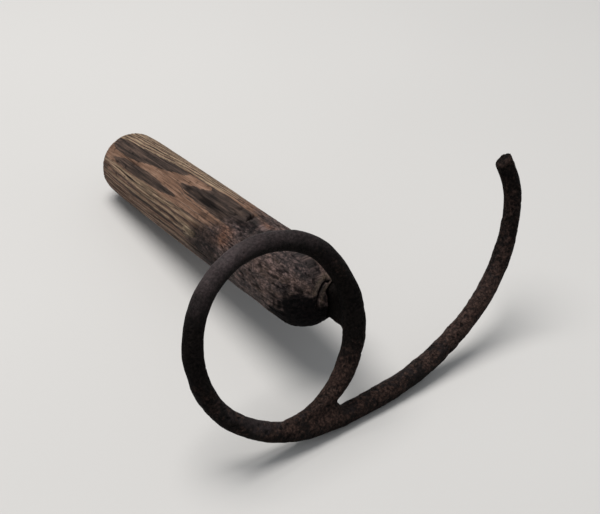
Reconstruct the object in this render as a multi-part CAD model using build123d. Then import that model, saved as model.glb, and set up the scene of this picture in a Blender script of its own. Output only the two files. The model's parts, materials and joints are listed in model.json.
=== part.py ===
from build123d import *
import math
import os

os.makedirs("parts", exist_ok=True)

# All sizes are in millimetres and degrees.

# The forged bar of the hook.
EYE_BAR_D = 7.2          # bar round the eye
FOOT_BAR_D = 7.8         # bar where the hook rests on the table
TAIL_BAR_D = 7.0         # bar at the top of the tail
TIP_D = 7.8              # slightly upset blunt tip
BRANCH_BAR_D = 8.0       # bar where the eye comes down to its own foot
LAP_END_D = 4.8          # thinned end of the lap weld

# The hook's centre line, all in one plane. It runs flat at the foot.
FOOT_FLAT = 10.0         # straight stretch that touches the table
FOOT_CENTRE = 2.0        # middle of that stretch, along the hook
HEEL_R = 104.0           # gentle rise from the foot towards the eye
HEEL_TURN = 11.4
SHIN_R = 50.0            # closer bend that leads into the eye
EYE_R = 32.5             # eye, to the middle of its bar
CORNER_R = 22.0          # tighter bend at the eye's upper corner over the tang
CORNER_TURN = 22.0
LAP_BITE = 1.6           # how deep the eye's bar is welded into its own foot
LAP_TURN = 8.0           # how far past the bottom of the eye the lap runs
SWEEP_R = 107.5          # long low sweep of the tail
SWEEP_TURN = 29.5
RISE_R = 67.0            # tail turning upwards
RISE_TURN = 34.0
CURL_R = 27.0            # last curl back over the foot
CURL_TURN = 46.0
TIP_LENGTH = 1.5         # straight end behind the blunt tip
TIP_SLANT = 12.0         # the tip's cut face, away from square
TIP_FACET = 1.8          # small flat struck on the tip's edge

# The tang that joins the eye to the grip.
TANG_ANGLE = -11.0       # where it leaves the eye, from the eye's rightmost point
TANG_OUTSET = 1.4        # its axis stands this far outside the middle of the bar
SHANK_WIDTH = 6.6        # bare flat shank, across the eye's bar
SHANK_HEIGHT = 15.0      # and along it
FORGED_CORNER = 0.42     # hammered round corners of shank and root, share of the width
ROOT_EDGE = 0.2          # flared root is this much narrower than the bar on each side
ROOT_HEIGHT = 21.0       # and this long, along the bar
ROOT_LENGTH = 7.0        # from the middle of the bar to the end of the flare
SHOULDER = 4.0           # flat shank that goes on into the wood
TANG_WIDTH = 5.5         # taper behind the shoulder, as wide as this
TANG_HEIGHT = 9.0        # and as high
TANG_POINT = 3.0         # square section at the driven end
TANG_DEPTH = 70.0        # length of the taper
TANG_CLEARANCE = 0.1     # room all round the tang in its hole

# The wooden grip, measured along its own axis from the end by the iron.
GRIP_D = 30.2            # barrel
GRIP_LENGTH = 162.0      # over both domes
NEAR_DOME = 0.444 * GRIP_D     # height of the dome by the iron, which keeps its form
NEAR_CORNER = 0.298 * GRIP_D   # radius where that dome meets the side
FAR_DOME = 0.298 * GRIP_D      # height of the dome at the free end
FAR_CORNER = 0.215 * GRIP_D    # radius where it meets the side
NEAR_DROP = 0.2          # how far the side falls in towards the near dome
FAR_DROP = 0.4           # and towards the far dome
NEAR_FALL = 64.0         # true cylinder starts this far from the near tip
FAR_FALL = 22.0          # and ends this far from the far tip
BARE_IRON = 7.8          # iron that shows between the eye's bar and the near dome
GRIP_RISE = 16.1         # axis tilted up from square to the hook's plane
GRIP_SWING = 2.4         # axis swung sideways from square
GRIP_OFFSET_X = 5.0      # axis beside the tang, towards the inside of the eye
GRIP_OFFSET_Y = 2.1      # axis above the tang

# Wear on the wood.
NICK_PLACE = 49.5        # its middle, from the near end
NICK_LENGTH = 6.5
NICK_WIDTH = 1.3
NICK_DEPTH = 1.6
NICK_SKEW = 62.0         # nick's turn away from the grain
SPLIT_R = 7.8            # curved split in the near dome, about the tang
SPLIT_WIDTH = 0.7
SPLIT_DEPTH = 5.0
SPLIT_FROM = 5.0         # where the split starts and how far it goes round
SPLIT_TURN = 85.0


def along(heading):
    """Unit vector in the hook's plane, at an angle from level."""
    a = math.radians(heading)
    return Vector(math.cos(a), 0, math.sin(a))


class Route:
    """Centre line in the hook's plane that grows by tangent straights and arcs."""

    def __init__(self, start, heading):
        self.point = start
        self.heading = heading

    def straight(self, length):
        end = self.point + along(self.heading) * length
        edge = Line(self.point, end)
        self.point = end
        return edge

    def arc(self, radius, turn):
        """Turn is in degrees, positive to the left of the heading."""
        side = 90 if turn > 0 else -90
        centre = self.point + along(self.heading + side) * radius
        middle = centre - along(self.heading + turn / 2 + side) * radius
        end = centre - along(self.heading + turn + side) * radius
        edge = ThreePointArc(self.point, middle, end)
        self.point = end
        self.heading = self.heading + turn
        return edge


def bar(edge, d_start, d_end):
    """Round bar along one edge, tapering evenly where its two ends differ."""
    start = Plane(origin=edge @ 0, x_dir=(0, 1, 0), z_dir=edge % 0)
    end = Plane(origin=edge @ 1, x_dir=(0, 1, 0), z_dir=edge % 1)
    if d_start == d_end:
        return sweep(start * Circle(d_start / 2), path=edge)
    sections = [start * Circle(d_start / 2), end * Circle(d_end / 2)]
    return sweep(sections, path=edge, multisection=True)


def shin_turn():
    """Turn of the shin that brings the bottom of the eye down onto the foot."""
    bottom = FOOT_BAR_D / 2 + BRANCH_BAR_D / 2 - LAP_BITE
    heel = math.radians(HEEL_TURN)
    rise = HEEL_R * (1 - math.cos(heel)) + SHIN_R * math.cos(heel) - EYE_R - bottom
    return math.degrees(math.acos(rise / (SHIN_R - EYE_R))) - HEEL_TURN


def eye_centre():
    """Centre of the eye, found by following the bar from the foot."""
    route = Route(Vector(FOOT_CENTRE - FOOT_FLAT / 2, 0, 0), 180)
    route.arc(HEEL_R, -HEEL_TURN)
    route.arc(SHIN_R, -shin_turn())
    return route.point + along(route.heading - 90) * EYE_R


def tail():
    """Right half of the foot and the rising tail, with its blunt tip."""
    route = Route(Vector(FOOT_CENTRE, 0, 0), 0)
    middle_d = (FOOT_BAR_D + TAIL_BAR_D) / 2
    piece = bar(route.straight(FOOT_FLAT / 2), FOOT_BAR_D, FOOT_BAR_D)
    piece += bar(route.arc(SWEEP_R, SWEEP_TURN), FOOT_BAR_D, middle_d)
    piece += bar(route.arc(RISE_R, RISE_TURN), middle_d, TAIL_BAR_D)
    piece += bar(route.arc(CURL_R, CURL_TURN), TAIL_BAR_D, TAIL_BAR_D)
    piece += bar(route.straight(TIP_LENGTH), TAIL_BAR_D, TIP_D)
    return piece - tip_waste(route)


def tip_waste(route):
    """What is cut away to leave the slanted face and the struck facet."""
    size = 4 * TIP_D
    inward = along(route.heading + 90)
    edge = route.point - along(route.heading) * (TIP_D * math.tan(math.radians(TIP_SLANT)) / 2)
    face = Plane(origin=edge, x_dir=(0, 1, 0), z_dir=along(route.heading + TIP_SLANT))
    waste = face * Pos(0, 0, size / 2) * Box(size, size, size)
    corner = edge + inward * (TIP_D / 2 - TIP_FACET)
    facet = Plane(origin=corner, x_dir=(0, 1, 0), z_dir=along(route.heading + 50))
    waste += facet * Pos(0, 0, size / 2) * Box(size, size, size)
    return waste


def flank_r():
    """Radius on each side of the eye's corner that keeps the eye as wide and high."""
    low, high = math.radians(45 - CORNER_TURN / 2), math.radians(45 + CORNER_TURN / 2)
    share = math.sin(high) - math.sin(low)
    return (EYE_R - CORNER_R * share) / (1 - share)


def eye():
    """Left half of the foot, once round the eye, and the lap onto the foot."""
    route = Route(Vector(FOOT_CENTRE, 0, 0), 180)
    piece = bar(route.straight(FOOT_FLAT / 2), FOOT_BAR_D, FOOT_BAR_D)
    piece += bar(route.arc(HEEL_R, -HEEL_TURN), FOOT_BAR_D, FOOT_BAR_D)
    piece += bar(route.arc(SHIN_R, -shin_turn()), FOOT_BAR_D, EYE_BAR_D)
    piece += bar(route.arc(EYE_R, 90 - route.heading), EYE_BAR_D, EYE_BAR_D)
    piece += bar(route.arc(EYE_R, -90), EYE_BAR_D, EYE_BAR_D)
    flank = 45 - CORNER_TURN / 2
    corner_d = (EYE_BAR_D + BRANCH_BAR_D) / 2
    piece += bar(route.arc(flank_r(), -flank), EYE_BAR_D, corner_d)
    piece += bar(route.arc(CORNER_R, -CORNER_TURN), corner_d, corner_d)
    piece += bar(route.arc(flank_r(), -flank), corner_d, BRANCH_BAR_D)
    piece += bar(route.arc(EYE_R, -45), BRANCH_BAR_D, BRANCH_BAR_D)
    lap = bar(route.arc(EYE_R, -45 - LAP_TURN), BRANCH_BAR_D, LAP_END_D)
    end = Plane(origin=route.point, z_dir=along(route.heading))
    lap += end * Sphere(LAP_END_D / 2)
    return piece + lap


def hook():
    """The whole forged bar, in its own plane, with the foot level."""
    piece = eye() + tail()
    piece.label = "hook"
    return piece


def tang_plane():
    """Where the tang leaves the eye: Z into the wood, Y up, X to the eye's inside."""
    swing = math.radians(GRIP_SWING)
    rise = math.radians(GRIP_RISE)
    into = Vector(math.sin(swing), math.cos(swing) * math.cos(rise), math.cos(swing) * math.sin(rise))
    root = eye_centre() + along(TANG_ANGLE) * (EYE_R + TANG_OUTSET)
    return Plane(origin=root, x_dir=Vector(-math.cos(swing), math.sin(swing), 0), z_dir=into)


def root_plane():
    """Middle of the eye's bar under the tang: Z to the wood, X to the eye's centre."""
    spot = eye_centre() + along(TANG_ANGLE) * EYE_R
    return Plane(origin=spot, x_dir=-along(TANG_ANGLE), z_dir=Vector(0, 1, 0))


def near_end():
    """Distance from the middle of the eye's bar to the tip of the near dome."""
    return BRANCH_BAR_D / 2 + BARE_IRON


def hammered(width, height):
    """Flat section with hammered round corners."""
    return RectangleRounded(width, height, FORGED_CORNER * width)


def shank_outline(room):
    """Flat shank's section, larger by the given room."""
    return hammered(SHANK_WIDTH + 2 * room, SHANK_HEIGHT + 2 * room)


def driven_tang(room):
    """Part of the tang inside the wood, or its hole where room is given."""
    seat = near_end() + SHOULDER
    deep = seat + TANG_DEPTH + room
    shank = Pos(0, 0, near_end()) * extrude(shank_outline(room), SHOULDER)
    wide = Plane.XY.offset(seat) * Rectangle(TANG_WIDTH + 2 * room, TANG_HEIGHT + 2 * room)
    narrow = Plane.XY.offset(deep) * Rectangle(TANG_POINT + 2 * room, TANG_POINT + 2 * room)
    return shank + loft([wide, narrow], ruled=True)


def tang(hook_bar):
    """Flared root saddled on the eye's bar, bare shank and driven taper."""
    root_width = EYE_BAR_D - 2 * ROOT_EDGE
    root = root_plane() * hammered(root_width, ROOT_HEIGHT)
    neck = tang_plane() * Pos(0, 0, ROOT_LENGTH) * shank_outline(0)
    shank = Pos(0, 0, ROOT_LENGTH) * extrude(shank_outline(0), near_end() - ROOT_LENGTH)
    piece = loft([root, neck]) + tang_plane() * (shank + driven_tang(0))
    piece = piece - hook_bar
    piece.label = "tang"
    return piece


def fall(r_barrel, z_barrel, r_end, z_end):
    """Shallow arc, level where it leaves the barrel, that falls to an end."""
    run = abs(z_end - z_barrel)
    drop = r_barrel - r_end
    radius = (run * run + drop * drop) / (2 * drop)
    half = run / 2
    r_middle = r_barrel - (radius - math.sqrt(radius * radius - half * half))
    middle = (z_barrel + z_end) / 2
    return ThreePointArc((r_end, 0, z_end), (r_middle, 0, middle), (r_barrel, 0, z_barrel))


def dome(r_rim, z_rim, height, corner, way):
    """Crown arc and tangent corner arc from the tip on the axis to the rim."""
    run = r_rim - corner
    crown = (run * run + height * height - corner * corner) / (2 * (height - corner))
    z_crown = z_rim + way * (height - crown)
    turn = math.asin(run / (crown - corner))

    def on_crown(angle):
        return (crown * math.sin(angle), 0, z_crown + way * crown * math.cos(angle))

    def on_corner(angle):
        return (run + corner * math.sin(angle), 0, z_rim + way * corner * math.cos(angle))

    half = (turn + math.pi / 2) / 2
    return [
        ThreePointArc(on_crown(0), on_crown(turn / 2), on_crown(turn)),
        ThreePointArc(on_corner(turn), on_corner(half), on_corner(math.pi / 2)),
    ]


def grip_blank():
    """Turned grip on its own axis, near tip at the origin."""
    r = GRIP_D / 2
    barrel_end = GRIP_LENGTH - FAR_FALL
    far_rim = GRIP_LENGTH - FAR_DOME
    outline = dome(r - NEAR_DROP, NEAR_DOME, NEAR_DOME, NEAR_CORNER, -1)
    outline += dome(r - FAR_DROP, far_rim, FAR_DOME, FAR_CORNER, 1)
    outline += [
        fall(r, NEAR_FALL, r - NEAR_DROP, NEAR_DOME),
        Line((r, 0, NEAR_FALL), (r, 0, barrel_end)),
        fall(r, barrel_end, r - FAR_DROP, far_rim),
        Line((0, 0, GRIP_LENGTH), (0, 0, 0)),
    ]
    return revolve(make_face(outline), Axis.Z)


def nick():
    """Short gouge in the top of the grip, skewed across the grain."""
    chord = NICK_LENGTH / 2
    radius = (chord * chord + NICK_DEPTH * NICK_DEPTH) / (2 * NICK_DEPTH)
    disc = Rot(0, 90, 0) * Cylinder(radius, NICK_WIDTH)
    top = Pos(0, GRIP_D / 2 - NICK_DEPTH + radius, NICK_PLACE)
    return top * Rot(0, NICK_SKEW, 0) * disc


def split():
    """Curved split in the near dome that runs part of the way round the tang."""
    def rim(radius, angle):
        a = math.radians(angle)
        return (radius * math.cos(a), radius * math.sin(a))

    inner, outer = SPLIT_R - SPLIT_WIDTH / 2, SPLIT_R + SPLIT_WIDTH / 2
    middle, last = SPLIT_FROM + SPLIT_TURN / 2, SPLIT_FROM + SPLIT_TURN
    outline = [
        ThreePointArc(rim(outer, SPLIT_FROM), rim(outer, middle), rim(outer, last)),
        Line(rim(outer, last), rim(inner, last)),
        ThreePointArc(rim(inner, last), rim(inner, middle), rim(inner, SPLIT_FROM)),
        Line(rim(inner, SPLIT_FROM), rim(outer, SPLIT_FROM)),
    ]
    return extrude(make_face(outline), near_end() + SPLIT_DEPTH)


def grip_plane():
    """Grip's own frame, at the tip of the near dome."""
    frame = tang_plane()
    tip = frame.from_local_coords(Vector(GRIP_OFFSET_X, GRIP_OFFSET_Y, near_end()))
    return Plane(origin=tip, x_dir=frame.x_dir, z_dir=frame.z_dir)


def grip():
    """Wooden grip with the hole that the tang was driven into."""
    piece = grip_plane() * (grip_blank() - nick())
    piece = piece - tang_plane() * (driven_tang(TANG_CLEARANCE) + split())
    piece.label = "grip"
    return piece


def rest_lean():
    """Angle that lays the hook back until the grip's far corner meets the table."""
    corner = grip_plane().from_local_coords(Vector(0, 0, GRIP_LENGTH - FAR_DOME))
    low, high = 0.0, 60.0
    for _ in range(50):
        lean = (low + high) / 2
        a = math.radians(lean)
        height = corner.Z * math.cos(a) - corner.Y * math.sin(a)
        reach = (GRIP_D / 2 - FAR_DROP - FAR_CORNER) * math.cos(a - math.radians(GRIP_RISE)) + FAR_CORNER
        if height - reach > -FOOT_BAR_D / 2:
            low = lean
        else:
            high = lean
    return lean


def main():
    hook_bar = hook()
    pieces = [hook_bar, tang(hook_bar), grip()]
    lean = Rot(-rest_lean(), 0, 0)
    laid = [lean * piece for piece in pieces]
    box = Compound(laid).bounding_box()
    centre = box.center()
    home = Pos(-centre.X, -centre.Y, -box.min.Z)
    for name, piece in zip(("hook", "tang", "grip"), laid):
        export_step(home * piece, f"parts/{name}.step")
        print(name, round(piece.volume, 1), "mm3")
    print("lean", round(rest_lean(), 2), "size", [round(v, 1) for v in box.size])


main()
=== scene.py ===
import json
import math

import bmesh
import bpy
import numpy as np
from mathutils import Matrix, Vector


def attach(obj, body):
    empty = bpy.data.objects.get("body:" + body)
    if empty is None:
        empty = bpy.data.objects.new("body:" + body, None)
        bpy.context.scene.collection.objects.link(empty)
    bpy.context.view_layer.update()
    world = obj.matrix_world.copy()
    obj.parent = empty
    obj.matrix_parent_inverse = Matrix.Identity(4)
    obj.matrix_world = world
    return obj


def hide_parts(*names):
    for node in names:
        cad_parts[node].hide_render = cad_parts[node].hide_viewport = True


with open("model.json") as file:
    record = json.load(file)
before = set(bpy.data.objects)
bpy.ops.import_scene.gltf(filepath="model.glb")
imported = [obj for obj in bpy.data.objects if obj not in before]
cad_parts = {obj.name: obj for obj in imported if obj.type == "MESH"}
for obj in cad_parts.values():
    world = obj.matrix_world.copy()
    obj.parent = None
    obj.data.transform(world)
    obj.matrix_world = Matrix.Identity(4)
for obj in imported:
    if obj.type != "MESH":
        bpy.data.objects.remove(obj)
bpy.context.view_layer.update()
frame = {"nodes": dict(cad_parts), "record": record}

# Lengths are in millimetres in the CAD frame until a mesh is made.
MM = 0.001
NODES = frame["nodes"]
MOUNTS = {m["name"]: m for m in frame["record"]["mounts"]}

# Fineness of the meshes: the iron's voxels, the points round the grip, and the
# spacing of its rows along the barrel and over each end. Rows are closer at the nick.
VOXEL = 0.36
GRIP_SIDES = 280
ROW_SPACING, NICK_CLOSER = 0.62, 0.34
NEAR_SPACING, FAR_SPACING = 0.30, 0.42


# Noise. Its gain brings it to about -1 to 1, and the shift keeps its octaves
# from lining up.

SEEDS = 12
NOISE_GAIN = 1.6
OCTAVE_SHIFT = 17.3


def lattice(seed):
    """Shuffled cell numbers, and a slope for each."""
    rng = np.random.default_rng(seed)
    order = rng.permutation(256)
    slopes = rng.normal(size=(256, 3))
    slopes /= np.linalg.norm(slopes, axis=1)[:, None]
    return np.concatenate([order, order]), slopes


LATTICES = [lattice(seed) for seed in range(SEEDS)]


def perlin(p, seed=0):
    """Gradient noise at an array of points."""
    order, slopes = LATTICES[seed]
    cell = np.floor(p).astype(int)
    f = p - cell
    u = f * f * f * (f * (f * 6 - 15) + 10)
    cell &= 255
    total = np.zeros(len(p))
    for dx in (0, 1):
        hx = order[cell[:, 0] + dx]
        wx = u[:, 0] if dx else 1 - u[:, 0]
        for dy in (0, 1):
            hy = order[hx + cell[:, 1] + dy]
            wy = u[:, 1] if dy else 1 - u[:, 1]
            for dz in (0, 1):
                g = slopes[order[hy + cell[:, 2] + dz]]
                wz = u[:, 2] if dz else 1 - u[:, 2]
                dot = g[:, 0] * (f[:, 0] - dx) + g[:, 1] * (f[:, 1] - dy) + g[:, 2] * (f[:, 2] - dz)
                total += wx * wy * wz * dot
    return NOISE_GAIN * total


def layered(p, seed, octaves=3):
    """Noise with finer noise on top of it."""
    total = np.zeros(len(p))
    for k in range(octaves):
        total += perlin(p * 2**k + OCTAVE_SHIFT * k, (seed + k) % SEEDS) / 2**k
    return total


# Shapes of one number

def step(low, high, x):
    """0 below low, 1 above high, smooth between; also with low above high."""
    t = np.clip((x - low) / (high - low), 0, 1)
    return t * t * (3 - 2 * t)


def hump(x, middle, width):
    """1 at the middle, and falling off smoothly on both sides."""
    return np.exp(-((x - middle) / width) ** 2)


def band(x, low, high, soft):
    """1 between low and high, with soft edges."""
    return step(-soft, soft, x - low) * step(-soft, soft, high - x)


def curve(x, points):
    """Line through a few (place, value) points, level past its ends."""
    place, value = np.array(points).T
    return np.interp(x, place, value)


# Meshes

def piece(name, node, mesh, material):
    """Puts a finished mesh in the scene in place of a CAD node."""
    ob = bpy.data.objects.new(name, mesh)
    bpy.context.scene.collection.objects.link(ob)
    mesh.materials.append(material)
    mesh.polygons.foreach_set("use_smooth", np.ones(len(mesh.polygons), dtype=bool))
    mesh.update()
    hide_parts(node)
    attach(ob, "root")
    return ob


def store(mesh, name, values):
    """Keeps one number a vertex for the material to read."""
    data = mesh.attributes.new(name, "FLOAT", "POINT")
    data.data.foreach_set("value", np.asarray(values, dtype=np.float32))


def store_place(mesh, name, points):
    """Keeps one place a vertex for the material to read."""
    data = mesh.attributes.new(name, "FLOAT_VECTOR", "POINT")
    data.data.foreach_set("vector", np.asarray(points, dtype=np.float32).ravel())


def points_of(mesh):
    p = np.empty(3 * len(mesh.vertices))
    mesh.vertices.foreach_get("co", p)
    return p.reshape(-1, 3) / MM


def normals_of(mesh):
    n = np.empty(3 * len(mesh.vertices))
    mesh.vertex_normals.foreach_get("vector", n)
    return n.reshape(-1, 3)


def edges_of(mesh):
    e = np.empty(2 * len(mesh.edges), dtype=np.int32)
    mesh.edges.foreach_get("vertices", e)
    return e.reshape(-1, 2)


def set_points(mesh, p):
    mesh.vertices.foreach_set("co", (p * MM).ravel())
    mesh.update()


def keep_largest(mesh):
    """Deletes the crumbs that evening leaves where two skins nearly touch."""
    bm = bmesh.new()
    bm.from_mesh(mesh)
    bm.verts.ensure_lookup_table()
    seen = [False] * len(bm.verts)
    islands = []
    for start in bm.verts:
        if seen[start.index]:
            continue
        seen[start.index] = True
        island = [start]
        for v in island:
            for e in v.link_edges:
                w = e.other_vert(v)
                if not seen[w.index]:
                    seen[w.index] = True
                    island.append(w)
        islands.append(island)
    islands.sort(key=len)
    crumbs = [v for island in islands[:-1] for v in island]
    bmesh.ops.delete(bm, geom=crumbs, context="VERTS")
    bm.to_mesh(mesh)
    bm.free()


def evened(name, sources):
    """One closed, evenly meshed skin round closed meshes that may overlap."""
    bm = bmesh.new()
    for mesh in sources:
        bm.from_mesh(mesh)
    bmesh.ops.remove_doubles(bm, verts=bm.verts, dist=1e-6)
    joined = bpy.data.meshes.new(name)
    bm.to_mesh(joined)
    bm.free()
    ob = bpy.data.objects.new(name + "_source", joined)
    bpy.context.scene.collection.objects.link(ob)
    remesh = ob.modifiers.new("even", "REMESH")
    remesh.mode = "VOXEL"
    remesh.voxel_size = VOXEL * MM
    graph = bpy.context.evaluated_depsgraph_get()
    skin = bpy.data.meshes.new_from_object(ob.evaluated_get(graph))
    bpy.data.objects.remove(ob)
    skin.name = name
    skin.materials.clear()
    keep_largest(skin)
    return skin


def relax(p, edges, weight, steps, back=0.0):
    """Evens the surface where weight is above nothing; back undoes the shrinking."""
    a, b = edges[:, 0], edges[:, 1]
    count = np.bincount(a, minlength=len(p)) + np.bincount(b, minlength=len(p))
    count = np.maximum(count, 1)
    shares = (0.5, -back) if back else (0.5,)
    for share in shares * steps:
        for k in range(3):
            total = np.bincount(a, p[b, k], len(p)) + np.bincount(b, p[a, k], len(p))
            p[:, k] += share * weight * (total / count - p[:, k])
    return p


def tube(name, rows):
    """Closed mesh from rings of points, with a fan on each end."""
    n, m = rows.shape[:2]
    points = np.concatenate([rows.reshape(-1, 3), rows[0].mean(0)[None], rows[-1].mean(0)[None]])
    i, j = np.meshgrid(np.arange(n - 1), np.arange(m), indexing="ij")
    k = (j + 1) % m
    corners = [i * m + j, i * m + k, (i + 1) * m + k, (i + 1) * m + j]
    quads = np.stack(corners, -1).reshape(-1, 4)
    ring = np.arange(m)
    nxt = (ring + 1) % m
    first = np.stack([nxt, ring, np.full(m, n * m)], -1)
    last = np.stack([(n - 1) * m + ring, (n - 1) * m + nxt, np.full(m, n * m + 1)], -1)
    faces = quads.tolist() + first.tolist() + last.tolist()
    mesh = bpy.data.meshes.new(name)
    mesh.from_pydata((points * MM).tolist(), [], faces)
    bm = bmesh.new()
    bm.from_mesh(mesh)
    bmesh.ops.recalc_face_normals(bm, faces=bm.faces)
    bm.to_mesh(mesh)
    bm.free()
    return mesh


# Iron. Places on it are in the hook's own plane, from the middle of the eye, and
# angles go round the eye from its right side over its top.

EYE = np.array(MOUNTS["eye"]["pos_m"]) / MM
TO_FRONT = np.array(MOUNTS["eye"]["axis"])
ACROSS = np.array([1.0, 0.0, 0.0])
UPWARD = np.cross(ACROSS, -TO_FRONT)

# Reach of the eye's bar from the middle, and the height that parts it from the foot.
RING_REACH = (41, 37)
RING_BOTTOM = (-33.0, -29.0)

# How bare and light the iron is, by angle round the eye and by place along the tail. The peak over
# the eye's upper left is a painted highlight, the near black on the eye's left is painted shade,
# and it is also near black by the tang's root.
RING_LIGHT_AND_WEAR = (
    (-180, 0.02), (-165, 0.07), (-148, 0.24), (-125, 0.36), (-105, 0.36), (-80, 0.22),
    (-50, 0.14), (-22, 0.01), (8, 0.0), (37, 0.13), (65, 0.36), (90, 0.52),
    (109, 0.92), (118, 0.62), (128, 0.46), (141, 0.26), (154, 0.02), (180, 0.02),
)
TAIL_LIGHT_AND_WEAR = ((5, 0.14), (25, 0.13), (60, 0.24), (95, 0.24), (105, 0.12), (113, 0.03))
TAIL_TIP_SHADE = 0.05

# Turns of evening: voxel steps, facets of the CAD mesh, and the two welds.
VOXEL_TURNS, FACET_TURNS, WELD_TURNS = 3, 40, 60
PUSH_BACK = 0.52

# Lump that fills the notch of the lap weld, and how far its ends are cut in.
BEAD_RIGHT, BEAD_UP = 12.6, -34.6
BEAD_HALF_LENGTH, BEAD_HALF_HEIGHT, BEAD_HALF_DEPTH = 5.0, 3.4, 3.3
BEAD_RINGS, BEAD_SIDES, BEAD_END = 12, 20, 0.12

# Stretch of the hook's bar that the tang's root is welded round.
SADDLE_LEFT, SADDLE_RIGHT, SADDLE_BOTTOM, SADDLE_TOP = 12.0, 46.0, -21.0, 10.0
SADDLE_FADE, SADDLE_RISE, SADDLE_SINK = 6.0, 0.30, 0.12


def in_plane(p):
    """Places in the hook's own plane: right, up and towards the back."""
    q = p - EYE
    return q @ ACROSS, q @ UPWARD, -(q @ TO_FRONT)


def forged(p):
    """How far the skin of the iron stands out, and where it is pitted."""
    x, y, _ = in_plane(p)
    # The lower half is scaled more than the top of the eye, and the tail most.
    scaled = 0.45 + 0.55 * step(14, -12, y) + 0.25 * step(50, 70, x)
    swell = 0.20 * perlin(p / 13.0, 0) + 0.15 * perlin(p / 6.0, 1)
    dents = 0.15 * perlin(p / 2.6, 2) * scaled
    pit = step(0.28, 0.60, perlin(p / 1.7, 3)) * step(-0.4, 0.2, perlin(p / 9.0, 4))
    pit = pit * np.clip(scaled, 0, 1)
    fine = 0.05 * perlin(p / 0.9, 5) * scaled
    return swell + dents - 0.26 * pit + fine - 0.06, pit


def iron_light_wear_and_rust(p, normal):
    """Painted highlight and shade on the iron, with its bare metal, and where it has rusted, from 0
    to 1.
    """
    x, y, _ = in_plane(p)
    turn = np.degrees(np.arctan2(y, x))
    ring = step(*RING_REACH, np.hypot(x, y)) * step(*RING_BOTTOM, y)
    # The tail darkens as it rises to its tip: painted shade.
    tail = curve(x, TAIL_LIGHT_AND_WEAR) * step(4, -18, y) + TAIL_TIP_SHADE * step(-18, 4, y)
    painted_light_and_wear = ring * curve(turn, RING_LIGHT_AND_WEAR) + (1 - ring) * tail
    # Undersides stay black: painted shade under the iron.
    painted_light_and_wear *= 0.12 + 0.88 * step(-0.25, 0.80, normal[:, 2])
    painted_light_and_wear += 0.16 * layered(p / 7.0, 8) * np.clip(painted_light_and_wear * 2, 0, 1)

    rust = 0.50 + 0.50 * layered(p / 9.0, 6)
    # More on the middle of the tail, the lap and the eye's lower right.
    rust += 0.50 * (1 - ring) * hump(x, 82.0, 16.0)
    rust += 0.40 * hump(x, 4.0, 16.0) * hump(y, -31.0, 9.0)
    rust += 0.25 * ring * hump(turn, -50, 22.0)
    # Less on the eye's top, its lower left and by the tang's root.
    rust -= 0.60 * ring * step(30, 60, turn) + 0.15 * ring * step(-105, -130, turn)
    rust -= 0.75 * ring * hump(turn, 5, 24.0)
    return np.clip(painted_light_and_wear, 0, 1), np.clip(rust, 0, 1)


def finish_iron(mesh, blend, keep_floor=True):
    """Relaxes the skin, more at the welds, then works and rusts it."""
    p = points_of(mesh)
    edges = edges_of(mesh)
    everywhere = np.ones(len(p))
    p = relax(p, edges, everywhere, VOXEL_TURNS)
    p = relax(p, edges, everywhere, FACET_TURNS, PUSH_BACK)
    p = relax(p, edges, blend(p), WELD_TURNS)
    set_points(mesh, p)
    rise, pit = forged(p)
    p = p + normals_of(mesh) * rise[:, None]
    if keep_floor:
        p[:, 2] = np.maximum(p[:, 2], 0.0)
    set_points(mesh, p)
    painted_light_and_wear, rust = iron_light_wear_and_rust(p, normals_of(mesh))
    store(mesh, "pit", pit)
    store(mesh, "painted_light_and_wear", painted_light_and_wear)
    store(mesh, "rust", rust)


def weld_bead():
    """Rounded lump in the hook's plane that fills the notch of the lap weld."""
    turn = np.linspace(0, 2 * math.pi, BEAD_SIDES, endpoint=False)
    across = BEAD_HALF_HEIGHT * np.cos(turn)[:, None] * UPWARD
    deep = BEAD_HALF_DEPTH * np.sin(turn)[:, None] * TO_FRONT
    rows = []
    for a in np.linspace(BEAD_END, math.pi - BEAD_END, BEAD_RINGS):
        right = BEAD_RIGHT - BEAD_HALF_LENGTH * math.cos(a)
        middle = EYE + right * ACROSS + BEAD_UP * UPWARD
        rows.append(middle + math.sin(a) * (across + deep))
    return tube("weld_bead", np.array(rows))


def make_hook(material):
    mesh = evened("hook_bar", [NODES["hook"].data, weld_bead()])

    def blend(p):
        x, y, _ = in_plane(p)
        return 0.9 * hump(x, 6.0, 13.0) * hump(y, -34.0, 5.5)

    finish_iron(mesh, blend)
    return piece("hook_bar", "hook", mesh, material)


def saddle():
    """Stretch of the hook's bar under the tang's root, cut out of the CAD mesh."""
    bm = bmesh.new()
    bm.from_mesh(NODES["hook"].data)
    cuts = (
        (ACROSS, SADDLE_LEFT), (-ACROSS, -SADDLE_RIGHT),
        (UPWARD, SADDLE_BOTTOM), (-UPWARD, -SADDLE_TOP),
    )
    for way, place in cuts:
        spot = (EYE + way * place) * MM
        geometry = bm.verts[:] + bm.edges[:] + bm.faces[:]
        bmesh.ops.bisect_plane(
            bm, geom=geometry, plane_co=spot, plane_no=way, clear_inner=True)
    bmesh.ops.holes_fill(bm, edges=[e for e in bm.edges if e.is_boundary])
    bmesh.ops.recalc_face_normals(bm, faces=bm.faces)
    mesh = bpy.data.meshes.new("saddle")
    bm.to_mesh(mesh)
    bm.free()
    p = points_of(mesh)
    _, y, _ = in_plane(p)
    inner = step(SADDLE_BOTTOM, SADDLE_BOTTOM + SADDLE_FADE, y)
    inner = inner * step(SADDLE_TOP, SADDLE_TOP - SADDLE_FADE, y)
    rise = SADDLE_RISE * inner - SADDLE_SINK
    set_points(mesh, p + normals_of(mesh) * rise[:, None])
    return mesh


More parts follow.
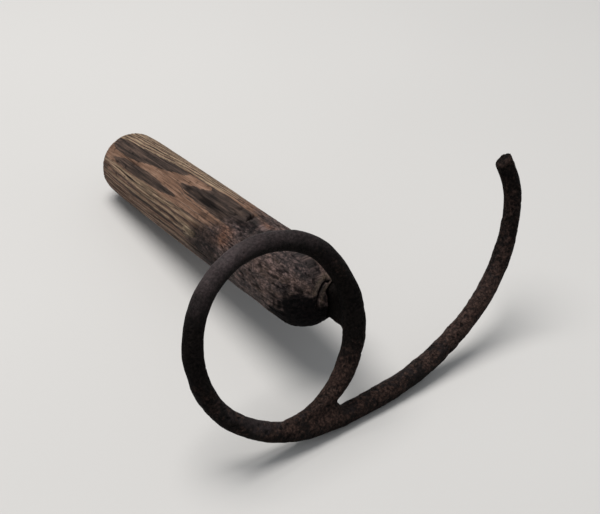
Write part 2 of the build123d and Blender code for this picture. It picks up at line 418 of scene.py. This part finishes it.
def make_tang(material):
    mesh = evened("tang_bar", [NODES["tang"].data, saddle()])

    def blend(p):
        _, _, z = in_plane(p)
        return 0.95 * step(10.0, 5.5, z) * step(-2.0, 1.0, z)

    finish_iron(mesh, blend, keep_floor=False)
    return piece("tang_bar", "tang", mesh, material)


# Wood. Places on it are s, the way along the grip from the near tip by the iron,
# and phi, the angle round it from its top, in degrees and positive to the right.

# The grip, as the CAD has it.
GRIP_R = 15.1
GRIP_LENGTH = 162.0
BARREL_FROM, BARREL_TO = 64.0, 140.0
BARREL_MIDDLE = 102.0
NEAR = {"height": 13.4, "corner": 9.0, "rim": 14.9}
FAR = {"height": 9.0, "corner": 6.5, "rim": 14.7}

# Where the tang goes in, from the grip's axis, and its rounded section there.
TANG_SIDE, TANG_BELOW = 5.0, 2.1
ENTRY_HALF_WIDTH, ENTRY_HALF_HEIGHT, ENTRY_CORNER = 3.4, 7.6, 2.86
ENTRY_DEPTH = 1.8

# Curved split in the near end, as a line of places to the right and up.
SPLIT_LINE = (
    (3.4, 6.9), (1.9, 7.4), (0.4, 6.9), (-1.1, 5.8),
    (-2.3, 4.3), (-3.0, 2.8), (-3.5, 1.2), (-3.6, -0.6),
)
SPLIT_DEPTH, LIP_HEIGHT = 1.1, 0.22

# Gouge across the top: its place, its slant, and its half length and half width.
NICK_PLACE, NICK_SLANT, NICK_DEPTH = 49.2, 62, 1.9
NICK_HALF_LENGTH, NICK_HALF_WIDTH, NICK_TAPER = 3.7, 1.15, 0.18

# Small drying cracks and fissures, and the highest that the wood may stand.
CRACK_COUNT, CRACK_SEED, CRACK_DEPTH = 70, 5, 0.45
FISSURE_DEPTH = 0.25
SINK, HIGHEST = 0.02, 0.06

AXIS = np.array(MOUNTS["handle"]["axis"])
AXIS /= np.linalg.norm(AXIS)
NEAR_TIP = np.array(MOUNTS["handle"]["pos_m"]) / MM - BARREL_MIDDLE * AXIS
TOP = np.array([0.0, 0.0, 1.0]) - AXIS[2] * AXIS
TOP /= np.linalg.norm(TOP)
SIDE = np.cross(AXIS, TOP)

# How far the grain has drifted round the grip, as (place, angle) points.
RIGHT_FLOW = (
    (0, 14), (60, 11), (80, 8), (100, 2), (112, 0), (125, -8), (140, -16), (152, -19),
)
LEFT_FLOW = ((0, 0), (70, 0), (90, 1), (110, -1.5), (130, -3), (150, -1))

# Dark patches of the top: lower and upper edge, each as (place, angle) points.
ISLAND = (
    ((89, -43), (96, -46.5), (105, -50), (115, -53), (133, -55), (143, -53), (151, -48)),
    ((89, -43), (97, -39.5), (105, -37.5), (118, -36.5), (128, -37.5), (139, -41), (151, -47)),
)
TONGUE = (
    ((95, 1), (100, -8), (110, -17), (120, -24), (130, -32), (140, -37.5), (150, -35), (155, -27)),
    ((95, 1), (100, 4), (110, 6.5), (120, 1), (130, -3.5), (140, -7.5), (148, -10), (156, -13)),
)
HEART = (
    ((30, -30), (45, -34), (57, -33), (75, -30), (85, -28), (92, -25), (99, -21)),
    ((30, 8), (45, 6), (58, 10), (80, 8), (83, -9), (91, -15), (99, -20)),
)
STREAK = (
    ((34, -20), (45, -23), (60, -26), (80, -26), (92, -24), (98, -22)),
    ((34, -6), (45, -9), (60, -17), (80, -15), (92, -18), (98, -21)),
)

# Single lines of the grain: half width, then (place, angle) points.
LEFT_PALE = (
    (1.3, (74, -79), (85, -81), (100, -79), (120, -80), (142, -76)),
    (1.2, (80, -71), (100, -68.5), (120, -67.5), (148, -62)),
    (1.1, (66, -57.5), (80, -58.5), (100, -60), (125, -60.5), (146, -58)),
)
LEFT_DARK = (
    (1.4, (56, -53), (80, -54), (97, -57)),
    (1.2, (74, -63), (90, -64.5), (110, -64), (130, -62.5), (148, -57)),
    (1.5, (78, -75.5), (100, -73.5), (120, -72.5), (146, -69)),
    (1.8, (78, -85), (100, -84), (128, -84), (146, -80)),
)
HEART_LINES = (
    (1.2, (50, -42), (64, -44), (80, -45.5), (92, -46)),
    (1.1, (54, -36), (68, -37.5), (84, -34), (95, -30)),
    (1.0, (58, -31), (72, -32), (88, -28), (99, -24)),
)

# First of the even lines on the right flank, and their spacing by angle from it.
RIGHT_LINE = ((60, 16), (80, 13), (100, 10), (112, 8), (125, 1), (140, -5), (152, -8))
RIGHT_SPACING = ((-6, 7.5), (30, 6.0), (60, 5.0))

# Yearly rings on the hidden side: their direction, rise along the grip and spacing.
RING_WAY, RING_RISE, RING_SPACING = 150.0, 0.035, 2.3

# How far along the near end's grey coat goes, as (angle, place) points.
GREY_EDGE = (
    (-180, 60), (-110, 76), (-85, 77), (-62, 72), (-45, 60),
    (-30, 54), (0, 48), (20, 52), (60, 60), (180, 60),
)


def end_arcs(end, spacing):
    """Distances from the tip and radii of a dome, from its tip to its rim."""
    run = end["rim"] - end["corner"]
    height, corner = end["height"], end["corner"]
    crown = (run * run + height * height - corner * corner) / (2 * (height - corner))
    turn = math.atan2(run, crown - height)
    a = np.linspace(0, turn, int(crown * turn / spacing) + 1)[1:]
    b = np.linspace(turn, math.pi / 2, int(corner * (math.pi / 2 - turn) / spacing) + 2)[1:]
    along = np.concatenate([crown - crown * np.cos(a), height - corner * np.cos(b)])
    out = np.concatenate([crown * np.sin(a), run + corner * np.sin(b)])
    lean = np.concatenate([a, b])
    return along, out, lean


def grip_outline():
    """Place along the grip, radius and slope of each ring of the mesh."""
    s0, r0, a0 = end_arcs(NEAR, NEAR_SPACING)
    s1, r1, a1 = end_arcs(FAR, FAR_SPACING)
    body = [NEAR["height"]]
    far_rim = GRIP_LENGTH - FAR["height"]
    while body[-1] < far_rim - 0.6:
        body.append(body[-1] + ROW_SPACING - NICK_CLOSER * hump(body[-1], 49.0, 4.5))
    s = np.array(body[1:])
    fall = np.clip((BARREL_FROM - s) / (BARREL_FROM - NEAR["height"]), 0, 1)
    rise = np.clip((s - BARREL_TO) / (far_rim - BARREL_TO), 0, 1)
    r = GRIP_R - (GRIP_R - NEAR["rim"]) * fall**2 - (GRIP_R - FAR["rim"]) * rise**2
    along = np.concatenate([s0, s, (GRIP_LENGTH - s1)[::-1]])
    out = np.concatenate([r0, r, r1[::-1]])
    lean = np.concatenate([a0, np.full(len(s), math.pi / 2), (math.pi - a1)[::-1]])
    return along, out, lean


def flow(s, phi):
    """How far the grain has drifted round the grip at a place."""
    right = curve(s, RIGHT_FLOW) * step(-12, 8, phi) * step(150, 60, phi)
    return right + curve(s, LEFT_FLOW) * step(-45, -60, phi)


def stroke(s, phi, width, *points):
    """Line along the grip through a few (place, angle) points, fading at its ends."""
    first, last = points[0][0], points[-1][0]
    ends = step(first - 5, first + 6, s) * step(last + 5, last - 6, s)
    return ends * hump(phi, curve(s, points), width)


def strokes(s, phi, rows):
    return sum(stroke(s, phi, *row) for row in rows)


def patch(s, phi, edges, soft, *fades):
    """Area between two lines along the grip, with each fade of its ends."""
    low, high = edges
    area = band(phi, curve(s, low), curve(s, high), soft)
    for nothing, full in fades:
        area = area * step(nothing, full, s)
    return area


def paint_wood(s, phi, x, y):
    """Coats of the wood, from 0 to 1, and the angle that its grain follows."""
    loop = np.stack([s / 12.0, x / 4.0, y / 4.0], 1)

    # Angles and places with the edges of the patches roughened.
    p = phi + 1.6 * perlin(loop, 6) + 1.2 * perlin(loop * (2.0, 2.5, 2.5), 7)
    p += 0.6 * perlin(loop * (3.0, 6.0, 6.0), 10)
    t = s + 3.0 * perlin(loop * (1.0, 2.0, 2.0), 8) + 2.0 * perlin(loop * (0.4, 5.0, 5.0), 9)

    # Long lines along the grain.
    q = np.radians(phi - flow(s, phi) + 0.8 * perlin(loop * 0.7, 5))
    reach = np.hypot(x, y) / GRIP_R
    turn = np.stack([s / 70.0, 15.0 * reach * np.cos(q), 15.0 * reach * np.sin(q)], 1)
    stripe = perlin(turn, 0) + 0.55 * perlin(turn * (2.0, 2.1, 2.1), 1)
    dark_line = step(0.12, 0.48, stripe)
    pale_line = step(-0.12, -0.50, stripe)
    hair = step(0.10, 0.5, perlin(turn * (2.5, 2.4, 2.4), 4))

    island = patch(t, p, ISLAND, 1.3, (87, 95), (152, 142))
    tongue = patch(t, p, TONGUE, 1.3, (94, 100), (158, 151))
    heart = patch(t, p, HEART, 1.2, (100, 94))
    streak = patch(t, p, STREAK, 1.5, (33, 39), (98, 90))
    streak *= 0.55 + 0.45 * step(-0.3, 0.3, perlin(loop * 1.3, 3))

    # Lines that show on the left flank, the heart and the right flank.
    beside = p - curve(s, RIGHT_LINE)
    drifted = beside + 1.5 * perlin(turn * 0.6, 2)
    wave = np.sin(2 * math.pi * drifted / curve(beside, RIGHT_SPACING))
    seen_right = step(-9, -4, beside) * step(70, 45, beside) * step(52, 70, s)
    shown_dark = 1.15 * strokes(s, p, LEFT_DARK) + 0.8 * strokes(s, p, HEART_LINES)
    shown_dark = np.clip(shown_dark + seen_right * step(0.05, 0.75, wave), 0, 1)
    shown_pale = strokes(s, p, LEFT_PALE) + seen_right * step(-0.15, -0.80, wave)
    shown_pale = np.clip(shown_pale, 0, 1)

    # The side that the photo doesn't show has plain grain.
    rings = np.cos(np.radians(phi - RING_WAY)) * reach * GRIP_R
    rings = rings + RING_RISE * s + 0.5 * perlin(loop, 9)
    late = step(0.15, 0.75, np.sin(rings * 2 * math.pi / RING_SPACING))
    hidden = 1 - step(-108, -96, phi) * step(75, 55, phi)

    left = step(-50, -57, p)
    sides = np.clip(left + step(3, 9, beside + 10), 0, 1)
    # Past 60 to 80 along, the left flank is darkened by 0.40 as painted shade.
    dark = np.maximum.reduce([
        0.86 * island, 0.84 * tongue, 0.95 * heart, 0.40 * left * step(60, 80, s),
        sides * 0.70 * dark_line, 0.42 * hair * (0.4 + 0.6 * sides), 0.95 * shown_dark,
    ])
    dark *= 1 - 0.75 * shown_pale
    dark = dark * (1 - hidden) + hidden * np.maximum(0.8 * late, 0.7 * dark_line)

    pale = np.maximum(shown_pale, 0.6 * sides * pale_line) * (1 - hidden)
    pale = (pale + 0.5 * hidden * pale_line) * step(60, 82, s + 6 * perlin(loop, 2))
    tuft = hump(s, 76, 5.5) * hump(phi, -78, 8.5)
    tuft *= step(-0.25, 0.25, perlin(loop * (4.0, 4.5, 4.5), 1)) * 1.8
    pale = np.clip(np.maximum(pale, tuft), 0, 1)

    # Grey coat of the near end, and the worn warm spots in it.
    ragged = 8 * perlin(loop * 0.8, 10) + 4 * perlin(loop * (1.0, 3.0, 3.0), 11)
    grey = step(7, -7, s - curve(phi, GREY_EDGE) + ragged)
    warm = hump(s, 51.5, 4.4) * band(phi, -64, -33, 7) * (0.85 + 0.35 * perlin(loop * 3, 3))
    warm = np.maximum(warm, 0.8 * hump(s, 39, 4.0) * hump(phi, 6, 5.0))

    # Black of the streak, of the left flank by the eye as painted shade, and over the heart.
    deep = band(phi, -112, -52, 9) * step(50, 57, s) * step(80, 70, s + 5 * perlin(loop, 4))
    shade = 0.22 * heart * step(97, 88, t) * (0.7 + 0.5 * perlin(loop * 1.7, 1))
    return {
        "dark": dark, "pale": pale, "grey": np.clip(grey, 0, 1), "warm": np.clip(warm, 0, 1),
        "black": np.maximum(0.85 * streak + 0.62 * deep, shade),
        "hair": hair, "lines": dark_line, "grain_angle": q,
    }


def cracks(s, phi):
    """Fine splits along the grain: depth from 0 to 1."""
    rng = np.random.default_rng(CRACK_SEED)
    total = np.zeros_like(s)
    q = phi - flow(s, phi)
    for _ in range(CRACK_COUNT):
        middle = rng.uniform(8, 155)
        at = rng.uniform(-180, 180)
        length = rng.uniform(5, 18)
        width = rng.uniform(0.7, 1.5)
        bend = rng.uniform(-1.5, 1.5)
        t = (s - middle) / length
        gap = (q - at - bend * t + 180) % 360 - 180
        body = np.clip(1 - t * t, 0, 1)
        width = width * (0.4 + 0.6 * body)
        total = np.maximum(total, body * np.clip(1 - np.abs(gap) / width, 0, 1))
    return total


def nick_shape(s, phi):
    """Gouge across the top, from 0 outside it to 1 at its floor."""
    a = math.radians(NICK_SLANT)
    ds = s - NICK_PLACE
    dw = phi * math.pi / 180 * GRIP_R
    along = ds * math.cos(a) + dw * math.sin(a)
    across = -ds * math.sin(a) + dw * math.cos(a)
    half_width = NICK_HALF_WIDTH + NICK_TAPER * along
    return step(1.0, 0.45, (along / NICK_HALF_LENGTH) ** 2 + (across / half_width) ** 2)


def from_entry(x, y):
    """Distance from the rounded section of the tang, below nothing inside it."""
    ex = np.abs(x - TANG_SIDE) - (ENTRY_HALF_WIDTH - ENTRY_CORNER)
    ey = np.abs(y + TANG_BELOW) - (ENTRY_HALF_HEIGHT - ENTRY_CORNER)
    outside = np.hypot(np.maximum(ex, 0), np.maximum(ey, 0))
    return outside + np.minimum(np.maximum(ex, ey), 0) - ENTRY_CORNER


def from_split(x, y):
    """Distance from the curved split's line."""
    nearest = np.full_like(x, 99.0)
    for (x0, y0), (x1, y1) in zip(SPLIT_LINE, SPLIT_LINE[1:]):
        dx, dy = x1 - x0, y1 - y0
        share = np.clip(((x - x0) * dx + (y - y0) * dy) / (dx**2 + dy**2), 0, 1)
        nearest = np.minimum(nearest, np.hypot(x - x0 - share * dx, y - y0 - share * dy))
    return nearest


def make_grip(material):
    along, out, lean = grip_outline()
    phi = np.tile(np.linspace(-180, 180, GRIP_SIDES, endpoint=False), len(along))
    s, radius, lean = (np.repeat(v, GRIP_SIDES) for v in (along, out, lean))
    rad = np.radians(phi)
    outward = np.cos(rad)[:, None] * TOP + np.sin(rad)[:, None] * SIDE
    normal = np.sin(lean)[:, None] * outward - np.cos(lean)[:, None] * AXIS
    place = NEAR_TIP + s[:, None] * AXIS + radius[:, None] * outward
    x, y = radius * np.sin(rad), radius * np.cos(rad)
    local = np.stack([x, y, s], 1)

    coats = paint_wood(s, phi, x, y)
    pale, grey = coats["pale"], coats["grey"]
    crack = cracks(s, phi)
    fissure = step(0.30, 0.52, layered(local / (2.0, 2.0, 7.0), 4, 2)) * step(82, 50, s)
    nick = nick_shape(s, phi)

    # Tang's entry and the curved split, which are in the near end only.
    front = step(14, 12, s)
    entry = step(0.75, 0.2, from_entry(x, y) + 0.12 * perlin(local, 5)) * front
    apart = from_split(x, y)
    split = step(0.55, 0.20, apart + 0.25 * perlin(local / 1.3, 6)) * front
    lip = hump(apart, 1.5, 0.8) * front * step(-2, 1, y) * (1 - split)

    # Waves, grain lines and roughness, then what is cut in.
    rise = 0.20 * perlin(local / (11.0, 11.0, 38.0), 0)
    rise += 0.10 * perlin(local / (4.0, 4.0, 14.0), 1)
    rise -= 0.16 * coats["lines"] * (1 - step(30, 6, s)) + 0.06 * coats["hair"] - 0.08 * pale
    rise += (0.05 + 0.18 * grey * step(60, 30, s)) * layered(local / (2.2, 2.2, 4.5), 2)
    rise -= CRACK_DEPTH * crack + FISSURE_DEPTH * fissure + NICK_DEPTH * nick
    rise += LIP_HEIGHT * lip - SPLIT_DEPTH * split
    rise = np.minimum(rise - SINK, HIGHEST)
    place = place + normal * rise[:, None] + AXIS * (ENTRY_DEPTH * entry)[:, None]
    place[:, 2] = np.maximum(place[:, 2], 0.0)

    # Black stain on the near end left of the tang, and black on its lower half under the tang that
    # is partly stain and partly painted shadow.
    stain_and_shadow = hump(x, -9.0, 5.0) * hump(y, 0.2, 4.4) * front
    under = step(-0.5, -4.5, y) * step(20, 12, s) * step(6.0, 0.0, x)
    stain_and_shadow = step(0.08, 0.38, np.maximum(stain_and_shadow, under) + 0.26 * layered(local / 2.6, 7))
    pale = np.maximum(pale, 0.25 * lip * (1 - stain_and_shadow))
    # The nick's floor and the tang's entry are painted black as shade in the gouge and the hollow.
    black = np.maximum.reduce([
        coats["black"], stain_and_shadow, split, nick, 0.8 * crack, 0.75 * fissure * (1 - lip), entry,
    ])

    # Each coat ends with its values at the two tips.
    mesh = tube("grip_wood", place.reshape(len(along), GRIP_SIDES, 3))
    for name, values, tips in (
        ("dark", coats["dark"], [0.3, 0.3]),
        ("pale", pale, [0.0, 0.2]),
        ("grey", grey, [1, 0]),
        ("warm", coats["warm"], [0, 0]),
        ("black", np.clip(black, 0, 1), [0, 0]),
    ):
        store(mesh, name, np.concatenate([values, tips]))
    q = coats["grain_angle"]
    grain = np.stack([radius * np.sin(q), radius * np.cos(q), s], 1)
    store_place(mesh, "grain", np.concatenate([grain, [[0, 0, 0]], [[0, 0, GRIP_LENGTH]]]))
    return piece("grip_wood", "grip", mesh, material)


# Materials. Each colour below is the stops of a ramp, from the low to the high
# places of a noise.

SCALE_AND_SHADE = ((0.36, (0.0014, 0.0013, 0.0012)), (0.64, (0.0085, 0.0066, 0.0060)))
BARE_IRON_AND_HIGHLIGHT = (
    (0.36, (0.022, 0.0145, 0.0155)), (0.50, (0.038, 0.0262, 0.0275)), (0.66, (0.064, 0.046, 0.047)),
)
RUST = (
    (0.36, (0.0070, 0.0042, 0.0036)), (0.50, (0.026, 0.0150, 0.0122)), (0.66, (0.072, 0.043, 0.034)),
)
RUST_FLECK = (0.090, 0.062, 0.049)
PIT_FLOOR = (0.0030, 0.0024, 0.0022)

EARLY_WOOD = (
    (0.36, (0.088, 0.049, 0.032)), (0.50, (0.152, 0.085, 0.055)), (0.62, (0.238, 0.145, 0.100)),
)
LATE_WOOD = (
    (0.34, (0.010, 0.0075, 0.0065)), (0.50, (0.040, 0.0262, 0.0205)), (0.66, (0.105, 0.068, 0.051)),
)
BRIGHT_LINE = ((0.36, (0.135, 0.098, 0.062)), (0.60, (0.380, 0.285, 0.190)))
OLD_WOOD = (
    (0.36, (0.0075, 0.0066, 0.0068)), (0.50, (0.036, 0.0270, 0.0275)), (0.64, (0.125, 0.087, 0.080)),
)
BLEACHED = ((0.38, (0.040, 0.028, 0.028)), (0.62, (0.185, 0.125, 0.116)))
RUBBED = (
    (0.35, (0.040, 0.019, 0.012)), (0.50, (0.115, 0.052, 0.032)), (0.66, (0.210, 0.105, 0.062)),
)
HAIR_LINE = (0.013, 0.0095, 0.008)
CHECKED = (0.009, 0.0075, 0.007)
STAIN_AND_SHADE = (0.0036, 0.0034, 0.0037)

TABLE = ((0.3, (0.555, 0.550, 0.540)), (0.7, (0.580, 0.575, 0.565)))


class Nodes:
    """Short words for building a material's node tree."""

    def __init__(self, name):
        self.material = bpy.data.materials.new(name)
        self.material.use_nodes = True
        self.tree = self.material.node_tree
        self.shader = self.tree.nodes["Principled BSDF"]

    def add(self, kind, **values):
        node = self.tree.nodes.new(kind)
        for key, value in values.items():
            setattr(node, key, value)
        return node

    def link(self, a, b):
        self.tree.links.new(a, b)

    def give(self, value, socket):
        """Links another node's output to a socket, or sets a number there."""
        if isinstance(value, bpy.types.NodeSocket):
            self.link(value, socket)
        else:
            socket.default_value = value

    def attribute(self, name, vector=False):
        node = self.add("ShaderNodeAttribute", attribute_name=name)
        return node.outputs["Vector" if vector else "Fac"]

    def place(self):
        return self.add("ShaderNodeTexCoord").outputs["Object"]

    def stretch(self, source, scale):
        node = self.add("ShaderNodeMapping")
        self.link(source, node.inputs["Vector"])
        node.inputs["Scale"].default_value = scale
        return node.outputs["Vector"]

    def noise(self, source, scale, detail=3.0, rough=0.5):
        node = self.add("ShaderNodeTexNoise")
        self.link(source, node.inputs["Vector"])
        node.inputs["Scale"].default_value = scale
        node.inputs["Detail"].default_value = detail
        node.inputs["Roughness"].default_value = rough
        return node.outputs["Fac"]

    def cells(self, source, scale, feature="F1"):
        node = self.add("ShaderNodeTexVoronoi", feature=feature)
        self.link(source, node.inputs["Vector"])
        node.inputs["Scale"].default_value = scale
        return node.outputs["Distance"]

    def ramp(self, source, *stops):
        node = self.add("ShaderNodeValToRGB")
        bar = node.color_ramp
        while len(bar.elements) < len(stops):
            bar.elements.new(0.5)
        for element, (place, colour) in zip(bar.elements, stops):
            rgb = colour if isinstance(colour, tuple) else (colour,) * 3
            element.position = place
            element.color = (*rgb, 1)
        self.link(source, node.inputs["Fac"])
        return node.outputs["Color"]

    def mix(self, factor, a, b):
        """Colour a, with b laid over it by a factor; the sockets go by number."""
        node = self.add("ShaderNodeMix", data_type="RGBA", blend_type="MIX")
        self.give(factor, node.inputs[0])
        for colour, socket in ((a, node.inputs[6]), (b, node.inputs[7])):
            self.give((*colour, 1) if isinstance(colour, tuple) else colour, socket)
        return node.outputs[2]

    def maths(self, how, a, b):
        node = self.add("ShaderNodeMath", operation=how)
        self.give(a, node.inputs[0])
        self.give(b, node.inputs[1])
        return node.outputs[0]

    def times(self, a, b):
        return self.maths("MULTIPLY", a, b)

    def plus(self, a, b):
        return self.maths("ADD", a, b)

    def swing(self, noise, amount):
        """Noise that goes as far below nothing as above it."""
        return self.times(self.maths("SUBTRACT", noise, 0.5), amount)

    def bump(self, height, strength, distance, below=None):
        node = self.add("ShaderNodeBump")
        self.link(height, node.inputs["Height"])
        node.inputs["Strength"].default_value = strength
        node.inputs["Distance"].default_value = distance
        if below is not None:
            self.link(below, node.inputs["Normal"])
        return node.outputs["Normal"]


def iron_material():
    m = Nodes("forged_iron")
    mm = m.stretch(m.place(), (1000, 1000, 1000))
    pit, rust, painted_light_and_wear = m.attribute("pit"), m.attribute("rust"), m.attribute("painted_light_and_wear")
    fine = m.noise(mm, 1.0, 5, 0.68)
    blot = m.noise(mm, 0.36, 4, 0.62)
    grit = m.noise(mm, 2.6, 3, 0.6)

    # Black scale, also painted shade where the painted light is low, with bare metal where it is
    # worn, which is also a painted highlight where the painted light is high.
    worn_and_lit = m.ramp(m.plus(painted_light_and_wear, m.swing(blot, 0.9)), (0.05, 0.0), (0.85, 1.0))
    worn_and_lit = m.times(worn_and_lit, m.ramp(painted_light_and_wear, (0.0, 0.2), (0.2, 1.0)))
    colour = m.mix(worn_and_lit, m.ramp(fine, *SCALE_AND_SHADE), m.ramp(fine, *BARE_IRON_AND_HIGHLIGHT))

    # Rust, its flecks and its pits.
    patches = m.plus(m.times(rust, 0.42), m.noise(mm, 0.62, 4, 0.6))
    patches = m.ramp(patches, (0.66, 0.0), (0.80, 1.0))
    patches = m.times(patches, m.ramp(painted_light_and_wear, (0.0, 0.25), (0.15, 1.0)))
    colour = m.mix(patches, colour, m.ramp(fine, *RUST))
    flecks = m.times(m.ramp(grit, (0.63, 0.0), (0.70, 1.0)), m.times(rust, 0.8))
    colour = m.mix(flecks, colour, RUST_FLECK)
    holes = m.ramp(m.noise(mm, 0.85, 4, 0.65), (0.35, 1.0), (0.43, 0.0))
    holes = m.times(holes, m.ramp(rust, (0.2, 0.0), (0.7, 0.9)))
    holes = m.maths("MAXIMUM", holes, pit)
    colour = m.mix(m.times(holes, 0.85), colour, PIT_FLOOR)

    m.link(colour, m.shader.inputs["Base Color"])
    m.link(m.ramp(blot, (0.3, 0.50), (0.7, 0.72)), m.shader.inputs["Roughness"])
    m.link(m.ramp(painted_light_and_wear, (0.0, 0.02), (0.9, 0.28)), m.shader.inputs["Specular IOR Level"])
    low = m.bump(m.ramp(m.cells(mm, 0.75), (0.0, 0.0), (0.5, 1.0)), 0.40, 0.0003)
    sunk = m.bump(m.ramp(holes, (0.0, 1.0), (1.0, 0.0)), 0.6, 0.0004, low)
    mid = m.bump(fine, 0.85, 0.0006, sunk)
    m.link(m.bump(grit, 0.45, 0.00018, mid), m.shader.inputs["Normal"])
    return m.material


def wood_material():
    m = Nodes("worn_wood")
    grain = m.attribute("grain", vector=True)
    dark, pale, grey = m.attribute("dark"), m.attribute("pale"), m.attribute("grey")
    warm, black = m.attribute("warm"), m.attribute("black")
    fibre = m.stretch(grain, (1.0, 1.0, 0.040))
    strands = m.noise(fibre, 1.25, 5, 0.70)
    hairs = m.noise(fibre, 2.7, 3, 0.6)
    cloud = m.noise(m.stretch(grain, (1.0, 1.0, 0.35)), 0.22, 3)
    spots = m.noise(m.stretch(grain, (1.0, 1.0, 0.5)), 0.9, 4, 0.62)

    # Early and late wood, with a ragged edge between them.
    edge = m.plus(m.plus(dark, m.swing(spots, 0.5)), m.swing(hairs, 0.5))
    edge = m.ramp(edge, (0.25, 0.0), (0.66, 1.0))
    colour = m.mix(edge, m.ramp(strands, *EARLY_WOOD), m.ramp(strands, *LATE_WOOD))

    # Grey, checked coat of the near end, bleached in blotches.
    blotch = m.noise(m.stretch(grain, (1.0, 1.0, 0.6)), 0.33, 3, 0.6)
    blotch = m.ramp(blotch, (0.50, 0.0), (0.62, 0.75))
    old = m.mix(blotch, m.ramp(spots, *OLD_WOOD), m.ramp(spots, *BLEACHED))
    colour = m.mix(m.times(grey, m.ramp(cloud, (0.30, 0.70), (0.65, 0.97))), colour, old)

    # Bright lines, rubbed spots, hair lines, checks, and stains and painted shade over them.
    colour = m.mix(m.times(pale, 0.85), colour, m.ramp(strands, *BRIGHT_LINE))
    colour = m.mix(m.times(warm, 0.9), colour, m.ramp(spots, *RUBBED))
    colour = m.mix(m.ramp(hairs, (0.32, 0.6), (0.46, 0.0)), colour, HAIR_LINE)
    web = m.cells(m.stretch(grain, (1.0, 1.0, 0.42)), 0.62, "DISTANCE_TO_EDGE")
    web = m.times(m.ramp(web, (0.015, 1.0), (0.075, 0.0)), m.times(grey, 0.6))
    colour = m.mix(web, colour, CHECKED)
    deep = m.times(black, m.ramp(spots, (0.30, 1.0), (0.80, 0.90)))
    colour = m.mix(deep, colour, STAIN_AND_SHADE)

    m.link(colour, m.shader.inputs["Base Color"])
    m.link(m.ramp(strands, (0.3, 0.85), (0.7, 0.68)), m.shader.inputs["Roughness"])
    m.link(m.ramp(black, (0.1, 0.18), (0.9, 0.03)), m.shader.inputs["Specular IOR Level"])
    coarse = m.bump(strands, 0.7, 0.0004)
    netted = m.bump(m.ramp(web, (0.0, 1.0), (0.6, 0.0)), 0.5, 0.00025, coarse)
    m.link(m.bump(hairs, 0.6, 0.00018, netted), m.shader.inputs["Normal"])
    return m.material


def floor_material():
    m = Nodes("pale_table")
    m.link(m.ramp(m.noise(m.place(), 3.0, 2), *TABLE), m.shader.inputs["Base Color"])
    m.shader.inputs["Roughness"].default_value = 0.85
    m.shader.inputs["Specular IOR Level"].default_value = 0.15
    return m.material


# Stage, in metres. The camera stands where the photo's did.

FLOOR_HALF = 6.0
CAMERA_PLACE = (-0.2176, -0.3247, 0.2977)
CAMERA_FORWARD = (0.481, 0.645, -0.593)
CAMERA_RIGHT = (0.802, -0.598, 0.0)
SENSOR_MM = 36.0
FOCUS_PIXELS, PICTURE_PIXELS = 1168, 600
NEAR_CLIP = 0.01
SKY_COLOUR, SKY_STRENGTH = (0.94, 0.97, 1.0, 1), 0.42
LAMP_PLACE, LAMP_AIM = (-0.10, 0.25, 1.10), (-0.02, 0.0, 0.0)
LAMP_SIZE, LAMP_WATTS, LAMP_TINT = 0.75, 13.0, (1.0, 0.97, 0.94)


def make_floor():
    mesh = bpy.data.meshes.new("table_top")
    corners = [(x * FLOOR_HALF, y * FLOOR_HALF, 0) for x, y in ((-1, -1), (1, -1), (1, 1), (-1, 1))]
    mesh.from_pydata(corners, [], [(0, 1, 2, 3)])
    mesh.materials.append(floor_material())
    floor = bpy.data.objects.new("table_top", mesh)
    bpy.context.scene.collection.objects.link(floor)


def make_camera():
    forward = Vector(CAMERA_FORWARD).normalized()
    right = Vector(CAMERA_RIGHT).normalized()
    up = right.cross(forward)
    data = bpy.data.cameras.new("camera")
    data.sensor_width = SENSOR_MM
    data.lens = SENSOR_MM * FOCUS_PIXELS / PICTURE_PIXELS
    data.clip_start = NEAR_CLIP
    ob = bpy.data.objects.new("camera", data)
    bpy.context.scene.collection.objects.link(ob)
    turn = Matrix((right, up, -forward)).transposed().to_4x4()
    ob.matrix_world = Matrix.Translation(Vector(CAMERA_PLACE)) @ turn
    bpy.context.scene.camera = ob


def make_lights():
    world = bpy.data.worlds.new("studio")
    world.use_nodes = True
    sky = world.node_tree.nodes["Background"]
    sky.inputs["Color"].default_value = SKY_COLOUR
    sky.inputs["Strength"].default_value = SKY_STRENGTH
    bpy.context.scene.world = world
    data = bpy.data.lights.new("overhead", "AREA")
    data.shape = "DISK"
    data.size = LAMP_SIZE
    data.energy = LAMP_WATTS
    data.color = LAMP_TINT
    ob = bpy.data.objects.new("overhead", data)
    bpy.context.scene.collection.objects.link(ob)
    ob.location = LAMP_PLACE
    ob.rotation_euler = (Vector(LAMP_AIM) - Vector(LAMP_PLACE)).to_track_quat("-Z", "Y").to_euler()


iron = iron_material()
make_hook(iron)
make_tang(iron)
make_grip(wood_material())
make_floor()
make_camera()
make_lights()
bpy.context.scene.view_settings.view_transform = "Standard"
